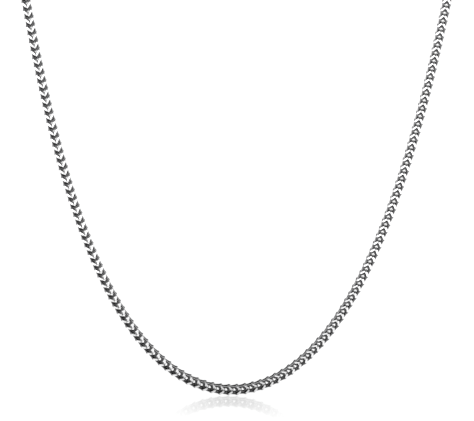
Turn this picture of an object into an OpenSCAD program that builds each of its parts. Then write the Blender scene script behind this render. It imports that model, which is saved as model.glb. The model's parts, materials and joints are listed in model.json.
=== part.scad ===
/* [Chain] */
// Length of the whole necklace, closed, along its middle line
necklace_len = 610; // [600:5:625]
// Width of a link across the front
link_w = 3.5; // [3.4:0.05:3.7]
// Thickness of the wire that a link is bent from
wire_t = 0.62; // [0.54:0.01:0.66]
// Distance from one link to the next, before the chain is shared out evenly
link_pitch = 3; // [2.92:0.01:3.12]
// Slope of the two arms of each V, up from straight across
v_slope = 48; // [44:1:52]
// Lean of the two eyes of a link, from the feet in towards the crown
eye_lean = 17; // [16.5:0.5:19]

/* [Drape] */
// Radius of the hanging curve at its lowest point
drop_r = 30.8; // [30:0.1:35]
// Height of the flat front above the lowest point, up to the fold over the shoulders
front_h = 148; // [142:1:154]
// Radius of the fold over the shoulders
fold_r = 30; // [28:1:36]
// Distance from the middle of the neck to the chain behind it
neck_back = 58; // [50:1:64]

/* [Clasp] */
// Thickness of the wire of the two end rings
ring_wire = 0.8; // [0.7:0.05:0.9]
// Length of the clasp from nose to tail
clasp_len = 12; // [11:0.5:14]
// Thickness of the clasp
clasp_t = 2.4; // [2:0.1:3]

/* [Hidden] */

// Plain helpers
function unit(v) = v / norm(v);
function across(v) = [-v[1], v[0]];
function backwards(points) = [for (i = [len(points) - 1:-1:0]) points[i]];
function mirrored(points) = [for (p = points) [-p[0], p[1]]];
function cosh(v) = (exp(v) + exp(-v)) / 2;
function sinh(v) = (exp(v) - exp(-v)) / 2;
function asinh(v) = ln(v + sqrt(v * v + 1));
radian = 180 / PI;

// A band of even thickness along an open line of points, with mitred corners
function edge(points, h) = [for (i = [0:len(points) - 1])
  let (from = i > 0 ? unit(points[i] - points[i - 1]) : unit(points[1] - points[0]))
  let (to = i < len(points) - 1 ? unit(points[i + 1] - points[i]) : from)
  let (out = unit(across(from + to)))
  points[i] + out * h / (out * across(from))];
module band(points, t) polygon(concat(edge(points, t / 2), backwards(edge(points, -t / 2))));

// One link, opening upwards: two eyes that lean together and the two bars between their feet
pinch_gap = 0.1;
crown_gap = 0.24;
crown_cut = 0.5;
foot_x = (pinch_gap + wire_t) / 2;
eye_x = (link_w - wire_t) / 2;
arm_z = (eye_x - foot_x) * tan(v_slope);
crown_z = link_pitch + wire_t / 2 * (1 + sin(eye_lean) + cos(eye_lean)) + crown_gap;
crown_y = (wire_t + crown_gap) / 2;
foot_y = crown_y + crown_z * tan(eye_lean);
bar_t = wire_t - 0.04;
mid_z = crown_z / 2;
crown_s = crown_z / cos(eye_lean);
HALF_EYE = [[foot_x, 0], [eye_x, arm_z], [eye_x, crown_s - crown_cut],
  [eye_x - crown_cut, crown_s]];

module eye() rotate([90 - eye_lean, 0, 0]) linear_extrude(wire_t, center = true)
  band(concat(HALF_EYE, mirrored(backwards(HALF_EYE))), wire_t);

module link() {
  for (turn = [0, 180]) rotate(turn) translate([0, -foot_y, 0]) eye();
  for (side = [-1, 1]) translate([side * foot_x, 0, 0]) cube([bar_t, 2 * foot_y, bar_t], center = true);
}

// The middle line laid flat: a catenary in front, closed by a round arch behind
function front_len(x) = drop_r * sinh(x / drop_r);
function lift(x) = atan(sinh(x / drop_r));
function arch_r(x) = x / sin(lift(x));
function half_len(x) = front_len(x) + arch_r(x) * (180 - lift(x)) / radian;
function solve(low, high, steps) = let (x = (low + high) / 2)
  steps == 0 ? x : half_len(x) < necklace_len / 2 ? solve(x, high, steps - 1) : solve(low, x, steps - 1);
join_x = solve(drop_r, 4 * drop_r, 40);
join_s = front_len(join_x);
round_r = arch_r(join_x);
round_z = drop_r * (cosh(join_x / drop_r) - 1) + round_r * cos(lift(join_x));

// Heading, place across and height laid flat, at a length s from the lowest point
function heading(s) = abs(s) < join_s ? atan(s / drop_r)
  : sign(s) * (lift(join_x) + (abs(s) - join_s) / round_r * radian);
function flat_x(s) = abs(s) < join_s ? drop_r * asinh(s / drop_r) : round_r * sin(heading(s));
function flat_z(s) = abs(s) < join_s ? drop_r * (cosh(flat_x(s) / drop_r) - 1)
  : round_z - round_r * cos(heading(s));

// The flat line is rolled back over the shoulders from the height front_h up
function over(s) = max(0, flat_z(s) - front_h);
function fold(s) = min(90, over(s) / fold_r * radian);
function beyond(s) = max(0, over(s) - fold_r * PI / 2);
function rolled(s) = [flat_x(s), fold_r * (1 - cos(fold(s))) + beyond(s),
  min(flat_z(s), front_h) + fold_r * sin(fold(s))];

// The origin is the middle of the neck, level with the chain behind it
neck = rolled(necklace_len / 2) - [0, neck_back, 0];
function place(s) = rolled(s) - neck;

// Puts a piece drawn upright along +Z, front towards -Y, on the line at s, opening towards the left end
module at(s) translate(place(s)) rotate([-fold(s), 0, 0]) rotate([0, 270 - heading(s), 0]) children();

// The two end rings and the clasp fill the line between the last links
ring_r = 3;
ring_room = 0.2;
ring_in_eyes = crown_z - wire_t / 2 * (sin(eye_lean) + cos(eye_lean)) - 2 * ring_room - ring_wire / 2 + ring_r;
ring_over_bars = link_pitch - wire_t / 2 - ring_room - ring_wire / 2 - ring_r;
hole_r = 1.05;
hole_rim = 0.85;
sag = 0.12;
mouth_r = 1.3;
nose_rim = 1.3;
tail_z = clasp_len / 2 - hole_rim - hole_r;
nose_z = clasp_len / 2 - nose_rim - mouth_r;
clasp_span = tail_z + nose_z + 2 * sag;
hardware = ring_in_eyes - ring_over_bars + 2 * ring_r + clasp_span;
link_count = 2 * round(((necklace_len - hardware) / link_pitch + 1) / 2);
pitch = (necklace_len - hardware) / (link_count - 1);

// Places along the line, from the left end at the back, round the front, to the right end
tail_s = -necklace_len / 2 + clasp_span / 2;
first_link = tail_s + ring_r + ring_in_eyes - mid_z;
function link_s(k) = first_link + k * pitch;
left_ring_s = tail_s + ring_r;
right_ring_s = link_s(link_count - 1) + mid_z - ring_over_bars;

module chain(from, to) color("silver") for (k = [from:to]) at(link_s(k)) translate([0, 0, -mid_z]) link();
module chain_left() chain(0, link_count / 2 - 1);
module chain_right() chain(link_count / 2, link_count - 1);

// A plain round ring, standing front to back
module ring() color("silver") rotate([0, 90, 0])
  rotate_extrude($fn = 64) translate([ring_r, 0]) circle(d = ring_wire, $fn = 24);
module end_ring_left() at(left_ring_s) ring();
module end_ring_right() at(right_ring_s) ring();

// The clasp as one plain piece: a long mouth towards the nose and a round hole at the tail
module mouth() polygon([for (a = [-90:15:90]) [mouth_r * sin(a), mouth_r * -cos(a) - nose_z],
  for (a = [90:15:270]) [mouth_r * sin(a), mouth_r * -cos(a) - mouth_top]]);
mouth_top = nose_z - 3.4;
body_r = mouth_r + nose_rim;
module clasp_outline() difference() {
  union() {
    translate([0, -nose_z]) circle(body_r, $fn = 48);
    translate([0, tail_z]) circle(hole_r + hole_rim, $fn = 48);
    polygon([[-body_r * 0.98, -nose_z], [body_r * 0.98, -nose_z], [body_r * 0.9, 0],
      [hole_r + 0.3, tail_z], [-hole_r - 0.3, tail_z], [-body_r * 0.9, 0]]);
  }
  mouth();
  translate([0, tail_z]) circle(hole_r, $fn = 32);
}
module clasp() color("silver") at(-necklace_len / 2) translate([0, 0, (nose_z - tail_z) / 2])
  rotate([90, 0, 0]) linear_extrude(clasp_t, center = true) clasp_outline();

chain_left();
chain_right();
end_ring_left();
end_ring_right();
clasp();
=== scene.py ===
# Franco chain necklace: polished steel links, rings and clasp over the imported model
import json
import math
from collections import namedtuple

import bpy
import numpy as np
from mathutils import Matrix, Vector

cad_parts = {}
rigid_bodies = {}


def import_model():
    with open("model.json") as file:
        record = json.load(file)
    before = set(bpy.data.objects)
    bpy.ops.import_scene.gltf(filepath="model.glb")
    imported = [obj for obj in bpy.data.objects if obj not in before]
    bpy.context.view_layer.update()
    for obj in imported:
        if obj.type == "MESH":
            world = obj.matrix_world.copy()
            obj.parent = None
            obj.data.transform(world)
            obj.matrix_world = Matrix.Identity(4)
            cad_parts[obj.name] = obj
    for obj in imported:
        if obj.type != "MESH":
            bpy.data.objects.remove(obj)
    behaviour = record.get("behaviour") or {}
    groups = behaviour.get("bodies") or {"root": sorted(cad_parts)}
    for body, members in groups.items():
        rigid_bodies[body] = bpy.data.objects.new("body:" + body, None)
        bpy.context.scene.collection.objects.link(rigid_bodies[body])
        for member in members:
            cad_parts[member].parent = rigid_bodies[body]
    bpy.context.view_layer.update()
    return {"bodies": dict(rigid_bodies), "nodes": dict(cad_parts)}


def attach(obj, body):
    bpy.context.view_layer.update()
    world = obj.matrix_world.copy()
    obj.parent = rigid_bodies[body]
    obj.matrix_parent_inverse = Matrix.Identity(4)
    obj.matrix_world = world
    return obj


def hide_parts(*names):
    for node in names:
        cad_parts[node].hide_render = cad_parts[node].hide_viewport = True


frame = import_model()

BODY = next(iter(frame["bodies"]))
MM = 0.001

# Sizes of the chain and its route in millimetres and degrees, as in the part's source
NECKLACE_LEN = 610.0
LINK_PITCH = 3.0
EYE_LEAN = 17.0
WIRE_T = 0.62
DROP_R = 30.8
FRONT_H = 148.0
FOLD_R = 30.0
NECK_BACK = 58.0
RING_WIRE = 0.8
CLASP_LEN = 12.0
CROWN_GAP = 0.24
RING_R = 3.0
RING_ROOM = 0.2
HOLE_R = 1.05
HOLE_RIM = 0.85
SAG = 0.12
MOUTH_R = 1.3
NOSE_RIM = 1.3
JOIN_STEPS = 41

# Round wire of a link in millimetres, with its front and back planed flat. Edges that turn by more
# than SHARP_ANGLE are shaded sharp, and a turn below STRAIGHT is no bend
WIRE_D = 0.74
WIRE_SIDES = 12
FLAT_Y = 1.62
SHARP_ANGLE = math.radians(33)
STRAIGHT = 1e-9

# Corners of a quarter of a link's wire, from the foot up to the crown: place across, front to back
# and along, radius of the bend, steps round it, and how much painted shade darkens the wire before and
# after it
Corner = namedtuple("Corner", "place radius steps dark_before dark_after")
FOOT = Corner((0.37, -1.45, 0.0), 0.3, 4, 1, 0)
ARM_END = Corner((1.38, -1.45, 1.3), 0.25, 3, 0, 1)
SHOULDER = Corner((1.13, -1.22, 2.1), 0.4, 1, 1, 1)
NAPE = Corner((0.98, -0.4, 5.45), 0.36, 5, 1, 1)
CROWN = Corner((0.22, -0.4, 4.3), 0.36, 2, 1, 1)
QUARTER = (FOOT, ARM_END, SHOULDER, NAPE, CROWN)

# Painted shade is left off where the wire faces sideways out of the chain: the shares of its radius
# where the painted shade starts to fade and where it is gone, and the name of the attribute that holds
# the painted shade
SIDE_START = 0.7
SIDE_FULL = 0.97
PAINTED_SHADE_NAME = "painted_shade"

# Steel: clean and worn tone of the links and of the plain hardware, the near-black tone of the painted
# shade in the recesses, the range of the roughness, and the noises for grain, wear and scratches
LINK_TONES = ((0.86, 0.86, 0.865, 1), (0.77, 0.77, 0.78, 1))
HARDWARE_TONES = ((0.5, 0.5, 0.51, 1), (0.4, 0.4, 0.41, 1))
PAINTED_SHADE_TONE = (0.12, 0.12, 0.1224, 1)
SMOOTHEST = 0.06
ROUGHEST = 0.2
NOISE_DETAIL = 4
GRAIN_SCALE = 1800
WEAR_SCALE = 500
WEAR_RANGE = (0.5, 0.7)
SCRATCH_SCALE = 6000
SCRATCH_STRETCH = (1, 1, 0.06)
SCRATCH_STRENGTH = 0.5
SCRATCH_DEPTH = 0.000004

# Floor: half its side in metres, its depth below the lowest point of the chain's middle line and
# the reach of its gloss round the spot below that point in millimetres
FLOOR_HALF = 6.0
FLOOR_DROP = 2.2
FLOOR_GLOW = 1.12
FLOOR_GLOSS = 0.38
FLOOR_BLUR = 0.09
GLOSS_NEAR = 6.0
GLOSS_FAR = 43.0

# Softbox: sides and place towards the front in metres, height over the floor in millimetres
SOFTBOX_SIZE = (4.0, 3.0)
SOFTBOX_PLACE = -1.66
SOFTBOX_LIFT = 1.0
SOFTBOX_GLOW = 1.15

# Room: where it turns from white to dark, upwards and to the front, as parts of a unit direction
WHITE = (1, 1, 1, 1)
DARK = (0.05, 0.05, 0.05, 1)
DARK_UP = (0.08, 0.4)
DARK_FRONT = (0.35, -0.1)

# Camera: image size and place of the chain's lowest point in pixels, size of a pixel, angle above
# level, lean, and distance and farthest view in metres
IMAGE_W = 474
IMAGE_H = 421
LOW_X = 229.9
LOW_Y = 389.5
PIXEL = 0.36 * MM
ELEVATION = math.radians(16)
LEAN = math.radians(0.9)
DISTANCE = 2.7
VIEW_END = 20


def sine(v):
    return math.sin(math.radians(v))


def cosine(v):
    return math.cos(math.radians(v))


# The middle line laid flat: a catenary in front, closed by a round arch behind
def lift(x):
    """Slope of the catenary at the place x."""
    return math.atan(math.sinh(x / DROP_R))


def half_len(x):
    """Half the length of the loop if the arch takes over at x."""
    return DROP_R * math.sinh(x / DROP_R) + x / math.sin(lift(x)) * (math.pi - lift(x))


def solve_join():
    """Half width of the catenary where the arch takes over, so that the loop has its full length."""
    low, high = DROP_R, 4 * DROP_R
    for _ in range(JOIN_STEPS):
        x = (low + high) / 2
        if half_len(x) < NECKLACE_LEN / 2:
            low = x
        else:
            high = x
    return x


JOIN_X = solve_join()
JOIN_S = DROP_R * math.sinh(JOIN_X / DROP_R)
ROUND_R = JOIN_X / math.sin(lift(JOIN_X))
ROUND_Z = DROP_R * (math.cosh(JOIN_X / DROP_R) - 1) + ROUND_R * math.cos(lift(JOIN_X))


def heading(s):
    """Direction of the flat line at a length s from the lowest point."""
    if abs(s) < JOIN_S:
        return math.atan(s / DROP_R)
    return math.copysign(lift(JOIN_X) + (abs(s) - JOIN_S) / ROUND_R, s)


def flat(s):
    """Place across and height on the flat line."""
    if abs(s) < JOIN_S:
        x = DROP_R * math.asinh(s / DROP_R)
        return x, DROP_R * (math.cosh(x / DROP_R) - 1)
    return ROUND_R * math.sin(heading(s)), ROUND_Z - ROUND_R * math.cos(heading(s))


# The flat line is rolled back over the shoulders from the height FRONT_H up
def fold(s):
    """How far the line is turned back."""
    return min(math.pi / 2, max(0, flat(s)[1] - FRONT_H) / FOLD_R)


def rolled(s):
    """Place on the rolled line."""
    x, z = flat(s)
    beyond = max(0, z - FRONT_H - FOLD_R * math.pi / 2)
    y = FOLD_R * (1 - math.cos(fold(s))) + beyond
    return Vector((x, y, min(z, FRONT_H) + FOLD_R * math.sin(fold(s))))


NECK = rolled(NECKLACE_LEN / 2) - Vector((0, NECK_BACK, 0))
LOWEST = (rolled(0) - NECK) * MM
FLOOR_Z = LOWEST.z - FLOOR_DROP * MM


def at(s, drop):
    """Where a piece drawn upright, front towards -Y, goes on the line at s, let down by drop."""
    turn = Matrix.Rotation(-fold(s), 4, "X") @ Matrix.Rotation(1.5 * math.pi - heading(s), 4, "Y")
    return Matrix.Translation(rolled(s) - NECK) @ turn @ Matrix.Translation((0, 0, -drop))


# Places of the links along the line, between the two end rings and the clasp
EYE_ROOM = WIRE_T / 2 * (sine(EYE_LEAN) + cosine(EYE_LEAN))
CROWN_Z = LINK_PITCH + WIRE_T / 2 + EYE_ROOM + CROWN_GAP
MID_Z = CROWN_Z / 2
RING_IN_EYES = CROWN_Z - EYE_ROOM - 2 * RING_ROOM - RING_WIRE / 2 + RING_R
RING_OVER_BARS = LINK_PITCH - WIRE_T / 2 - RING_ROOM - RING_WIRE / 2 - RING_R
TAIL_Z = CLASP_LEN / 2 - HOLE_RIM - HOLE_R
NOSE_Z = CLASP_LEN / 2 - NOSE_RIM - MOUTH_R
CLASP_SPAN = TAIL_Z + NOSE_Z + 2 * SAG
HARDWARE = RING_IN_EYES - RING_OVER_BARS + 2 * RING_R + CLASP_SPAN
HALF_LINKS = round(((NECKLACE_LEN - HARDWARE) / LINK_PITCH + 1) / 2)
LINKS = 2 * HALF_LINKS
PITCH = (NECKLACE_LEN - HARDWARE) / (LINKS - 1)
FIRST_LINK = -NECKLACE_LEN / 2 + CLASP_SPAN / 2 + RING_R + RING_IN_EYES - MID_Z


# One link
def bend(before, corner, after, radius, steps):
    """Points and tangents round one corner of the wire."""
    into = (corner - before).normalized()
    out = (after - corner).normalized()
    angle = into.angle(out)
    start = corner - into * radius * math.tan(angle / 2)
    axis = into.cross(out).normalized()
    centre = start + axis.cross(into) * radius
    turns = [Matrix.Rotation(angle * j / steps, 3, axis) for j in range(steps + 1)]
    return [(centre + turn @ (start - centre), turn @ into) for turn in turns]


def link_line():
    """The closed middle line of the wire, as points and tangents."""
    corners = [(Vector(c.place), c.radius, c.steps) for c in QUARTER]
    corners += [(Vector((-p.x, p.y, p.z)), radius, steps) for p, radius, steps in reversed(corners)]
    corners += [(Vector((-p.x, -p.y, p.z)), radius, steps) for p, radius, steps in corners]
    line = []
    for i, (place, radius, steps) in enumerate(corners):
        after = corners[(i + 1) % len(corners)][0]
        line += bend(corners[i - 1][0], place, after, radius, steps)
    return line


def link_painted_shade():
    """Painted shade at each point of the wire's line: only the arms of the two Vs are left bright."""
    parts = [np.linspace(c.dark_before, c.dark_after, c.steps + 1) for c in QUARTER]
    quarter = np.concatenate(parts)
    half = np.concatenate([quarter, quarter[::-1]])
    return np.concatenate([half, half])


def carried(normal, before, after):
    """The normal taken along from one tangent to the next without twist."""
    axis = before.cross(after)
    if axis.length > STRAIGHT:
        normal = Matrix.Rotation(before.angle(after), 3, axis.normalized()) @ normal
    return (normal - after * normal.dot(after)).normalized()


def wire_normals(line):
    """A normal at each point of the line, carried round from a crown, where it points to the front."""
    crown = len(line) // 4
    normal = Vector((0, -1, 0))
    normals = {crown: normal}
    for i in range(1, len(line)):
        k = (crown + i) % len(line)
        normal = carried(normal, line[k - 1][1], line[k][1])
        normals[k] = normal
    return normals


def link_mesh():
    """Vertices and quads of one link, in millimetres, and how much painted shade each vertex gets."""
    line = link_line()
    normals = wire_normals(line)
    rings = []
    for k, (point, tangent) in enumerate(line):
        side = tangent.cross(normals[k])
        for j in range(WIRE_SIDES):
            a = 2 * math.pi * j / WIRE_SIDES
            rings.append(point + (normals[k] * math.cos(a) + side * math.sin(a)) * WIRE_D / 2)
    quads = []
    for k in range(len(line)):
        here = k * WIRE_SIDES
        there = (k + 1) % len(line) * WIRE_SIDES
        for j in range(WIRE_SIDES):
            m = (j + 1) % WIRE_SIDES
            quads.append((here + j, here + m, there + m, there + j))
    rings = np.array([tuple(v) for v in rings])
    rings[:, 1] = np.clip(rings[:, 1], -FLAT_Y, FLAT_Y)
    # Painted shade: the wire is darkened where it faces into the chain and left bright where it faces
    # sideways out
    middle = np.repeat([point.x for point, _ in line], WIRE_SIDES)
    outward = (rings[:, 0] - middle) * np.sign(middle) / (WIRE_D / 2)
    inner = np.clip((SIDE_FULL - outward) / (SIDE_FULL - SIDE_START), 0, 1)
    dark = np.repeat(link_painted_shade(), WIRE_SIDES) * inner
    return rings, np.array(quads), dark


def chain(name, first, last, node):
    """The links from first to last as one piece in place of a node."""
    points, quads, dark = link_mesh()
    verts, faces = [], []
    for k in range(first, last + 1):
        place = np.array(at(FIRST_LINK + k * PITCH, MID_Z))
        verts.append(points @ place[:3, :3].T + place[:3, 3])
        faces.append(quads + len(points) * (k - first))
    verts = np.concatenate(verts) * MM
    mesh = bpy.data.meshes.new(name)
    mesh.from_pydata(verts.tolist(), [], np.concatenate(faces).tolist())
    mesh.shade_smooth()
    mesh.set_sharp_from_angle(angle=SHARP_ANGLE)
    # The painted shade of the recesses is stored on the vertices for the steel's colour
    painted_shade = mesh.attributes.new(PAINTED_SHADE_NAME, "FLOAT", "POINT")
    painted_shade.data.foreach_set("value", np.tile(dark, last - first + 1).astype(np.float32))
    piece = bpy.data.objects.new(name, mesh)
    bpy.context.scene.collection.objects.link(piece)
    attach(piece, BODY)
    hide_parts(node)
    return piece


# Nodes, and the places of the sockets that a Mix node has for colours
MIX_FACTOR = 0
MIX_COLOURS = (6, 7)
MIX_RESULT = 2


def set_inputs(node, **values):
    """Sets sockets by their names, with _ for each space."""
    for name, value in values.items():
        node.inputs[name.replace("_", " ")].default_value = value


def noise(tree, scale, vector):
    """A fine noise from 0 to 1."""
    texture = tree.nodes.new("ShaderNodeTexNoise")
    set_inputs(texture, Scale=scale, Detail=NOISE_DETAIL)
    tree.links.new(vector, texture.inputs["Vector"])
    return texture.outputs["Fac"]


def ramp(tree, value, start, end, low=0, high=1, curve="LINEAR"):
    """The value turned into one that goes from low at start to high at end."""
    node = tree.nodes.new("ShaderNodeMapRange")
    node.interpolation_type = curve
    set_inputs(node, From_Min=start, From_Max=end, To_Min=low, To_Max=high)
    tree.links.new(value, node.inputs["Value"])
    return node.outputs["Result"]


def mixed(tree, factor, first, second):
    """A colour between two others, each of them given as a colour or as a socket."""
    mix = tree.nodes.new("ShaderNodeMix")
    mix.data_type = "RGBA"
    tree.links.new(factor, mix.inputs[MIX_FACTOR])
    for socket, colour in zip(MIX_COLOURS, (first, second)):
        if isinstance(colour, tuple):
            mix.inputs[socket].default_value = colour
        else:
            tree.links.new(colour, mix.inputs[socket])
    return mix.outputs[MIX_RESULT]


# Steel
def steel_material(name, tones):
    """Polished steel: bright arms, painted shade darkening the recesses, fine grain in the gloss and
    hairline scratches.
    """
    material = bpy.data.materials.new(name)
    material.use_nodes = True
    tree = material.node_tree
    shader = tree.nodes["Principled BSDF"]
    set_inputs(shader, Metallic=1)
    place = tree.nodes.new("ShaderNodeTexCoord").outputs["Object"]
    # Painted shade: the vertex attribute darkens the base colour towards a near-black tone in the
    # recesses
    painted_shade = tree.nodes.new("ShaderNodeAttribute")
    painted_shade.attribute_name = PAINTED_SHADE_NAME
    wear = ramp(tree, noise(tree, WEAR_SCALE, place), *WEAR_RANGE)
    colour = mixed(tree, painted_shade.outputs["Fac"], mixed(tree, wear, *tones), PAINTED_SHADE_TONE)
    tree.links.new(colour, shader.inputs["Base Color"])
    gloss = ramp(tree, noise(tree, GRAIN_SCALE, place), 0, 1, SMOOTHEST, ROUGHEST)
    tree.links.new(gloss, shader.inputs["Roughness"])
    stretch = tree.nodes.new("ShaderNodeMapping")
    set_inputs(stretch, Scale=SCRATCH_STRETCH)
    tree.links.new(place, stretch.inputs["Vector"])
    scratches = tree.nodes.new("ShaderNodeBump")
    set_inputs(scratches, Strength=SCRATCH_STRENGTH, Distance=SCRATCH_DEPTH)
    height = noise(tree, SCRATCH_SCALE, stretch.outputs["Vector"])
    tree.links.new(height, scratches.inputs["Height"])
    tree.links.new(scratches.outputs["Normal"], shader.inputs["Normal"])
    return material


def dress(piece, material):
    piece.data.materials.clear()
    piece.data.materials.append(material)


# Studio
def floor_material():
    """A white that glows evenly, with a gloss that fades out away from the lowest link."""
    material = bpy.data.materials.new("floor")
    material.use_nodes = True
    tree = material.node_tree
    tree.nodes.remove(tree.nodes["Principled BSDF"])
    white = tree.nodes.new("ShaderNodeEmission")
    set_inputs(white, Color=WHITE, Strength=FLOOR_GLOW)
    gloss = tree.nodes.new("ShaderNodeBsdfGlossy")
    set_inputs(gloss, Roughness=FLOOR_BLUR)
    reach = tree.nodes.new("ShaderNodeVectorMath")
    reach.operation = "DISTANCE"
    reach.inputs[1].default_value = (LOWEST.x, LOWEST.y, FLOOR_Z)
    tree.links.new(tree.nodes.new("ShaderNodeTexCoord").outputs["Object"], reach.inputs[0])
    fade = ramp(tree, reach.outputs["Value"], GLOSS_NEAR * MM, GLOSS_FAR * MM, FLOOR_GLOSS, 0)
    mix = tree.nodes.new("ShaderNodeMixShader")
    tree.links.new(fade, mix.inputs["Fac"])
    tree.links.new(white.outputs["Emission"], mix.inputs[1])
    tree.links.new(gloss.outputs["BSDF"], mix.inputs[2])
    tree.links.new(mix.outputs["Shader"], tree.nodes["Material Output"].inputs["Surface"])
    return material


def stage_floor():
    """A plain floor just under the lowest link."""
    corners = [(-FLOOR_HALF, -FLOOR_HALF, FLOOR_Z), (FLOOR_HALF, -FLOOR_HALF, FLOOR_Z),
               (FLOOR_HALF, FLOOR_HALF, FLOOR_Z), (-FLOOR_HALF, FLOOR_HALF, FLOOR_Z)]
    mesh = bpy.data.meshes.new("floor")
    mesh.from_pydata(corners, [], [(0, 1, 2, 3)])
    mesh.materials.append(floor_material())
    floor = bpy.data.objects.new("floor", mesh)
    bpy.context.scene.collection.objects.link(floor)


def softbox():
    """A wide soft light that lies on the floor in front of the necklace and shines up."""
    light = bpy.data.lights.new("softbox", "AREA")
    light.shape = "RECTANGLE"
    light.size, light.size_y = SOFTBOX_SIZE
    light.energy = SOFTBOX_GLOW * math.pi * light.size * light.size_y
    lamp = bpy.data.objects.new("softbox", light)
    lamp.location = (0, SOFTBOX_PLACE, FLOOR_Z + SOFTBOX_LIFT * MM)
    lamp.rotation_euler = (math.pi, 0, 0)
    bpy.context.scene.collection.objects.link(lamp)


def surroundings():
    """A white room that is dark high up in front, which gives the steel its dark reflections."""
    world = bpy.data.worlds.new("studio")
    world.use_nodes = True
    tree = world.node_tree
    split = tree.nodes.new("ShaderNodeSeparateXYZ")
    tree.links.new(tree.nodes.new("ShaderNodeTexCoord").outputs["Generated"], split.inputs[0])
    both = tree.nodes.new("ShaderNodeMath")
    both.operation = "MULTIPLY"
    tree.links.new(ramp(tree, split.outputs["Z"], *DARK_UP, curve="SMOOTHSTEP"), both.inputs[0])
    tree.links.new(ramp(tree, split.outputs["Y"], *DARK_FRONT, curve="SMOOTHSTEP"), both.inputs[1])
    colour = mixed(tree, both.outputs["Value"], WHITE, DARK)
    tree.links.new(colour, tree.nodes["Background"].inputs["Color"])
    bpy.context.scene.world = world


def camera():
    """The photo's camera: it looks down at the necklace from in front, with a slight lean."""
    data = bpy.data.cameras.new("camera")
    data.lens = data.sensor_width * DISTANCE / (IMAGE_W * PIXEL)
    data.clip_end = VIEW_END
    eye = bpy.data.objects.new("camera", data)
    view = Vector((0, math.cos(ELEVATION), -math.sin(ELEVATION)))
    upright = Vector((0, math.sin(ELEVATION), math.cos(ELEVATION)))
    level = Vector((1, 0, 0))
    right = level * math.cos(LEAN) + upright * math.sin(LEAN)
    up = upright * math.cos(LEAN) - level * math.sin(LEAN)
    aim = LOWEST + right * (IMAGE_W / 2 - LOW_X) * PIXEL + up * (LOW_Y - IMAGE_H / 2) * PIXEL
    turn = Matrix((right, up, -view)).transposed().to_4x4()
    eye.matrix_world = Matrix.Translation(aim - view * DISTANCE) @ turn
    bpy.context.scene.collection.objects.link(eye)
    bpy.context.scene.camera = eye


steel = steel_material("polished_steel", LINK_TONES)
hardware_steel = steel_material("hardware_steel", HARDWARE_TONES)
dress(chain("links_left", 0, HALF_LINKS - 1, "chain_left"), steel)
dress(chain("links_right", HALF_LINKS, LINKS - 1, "chain_right"), steel)
for name in ("end_ring_left", "end_ring_right", "clasp"):
    dress(frame["nodes"][name], hardware_steel)

stage_floor()
softbox()
surroundings()
camera()
bpy.context.scene.view_settings.view_transform = "Standard"
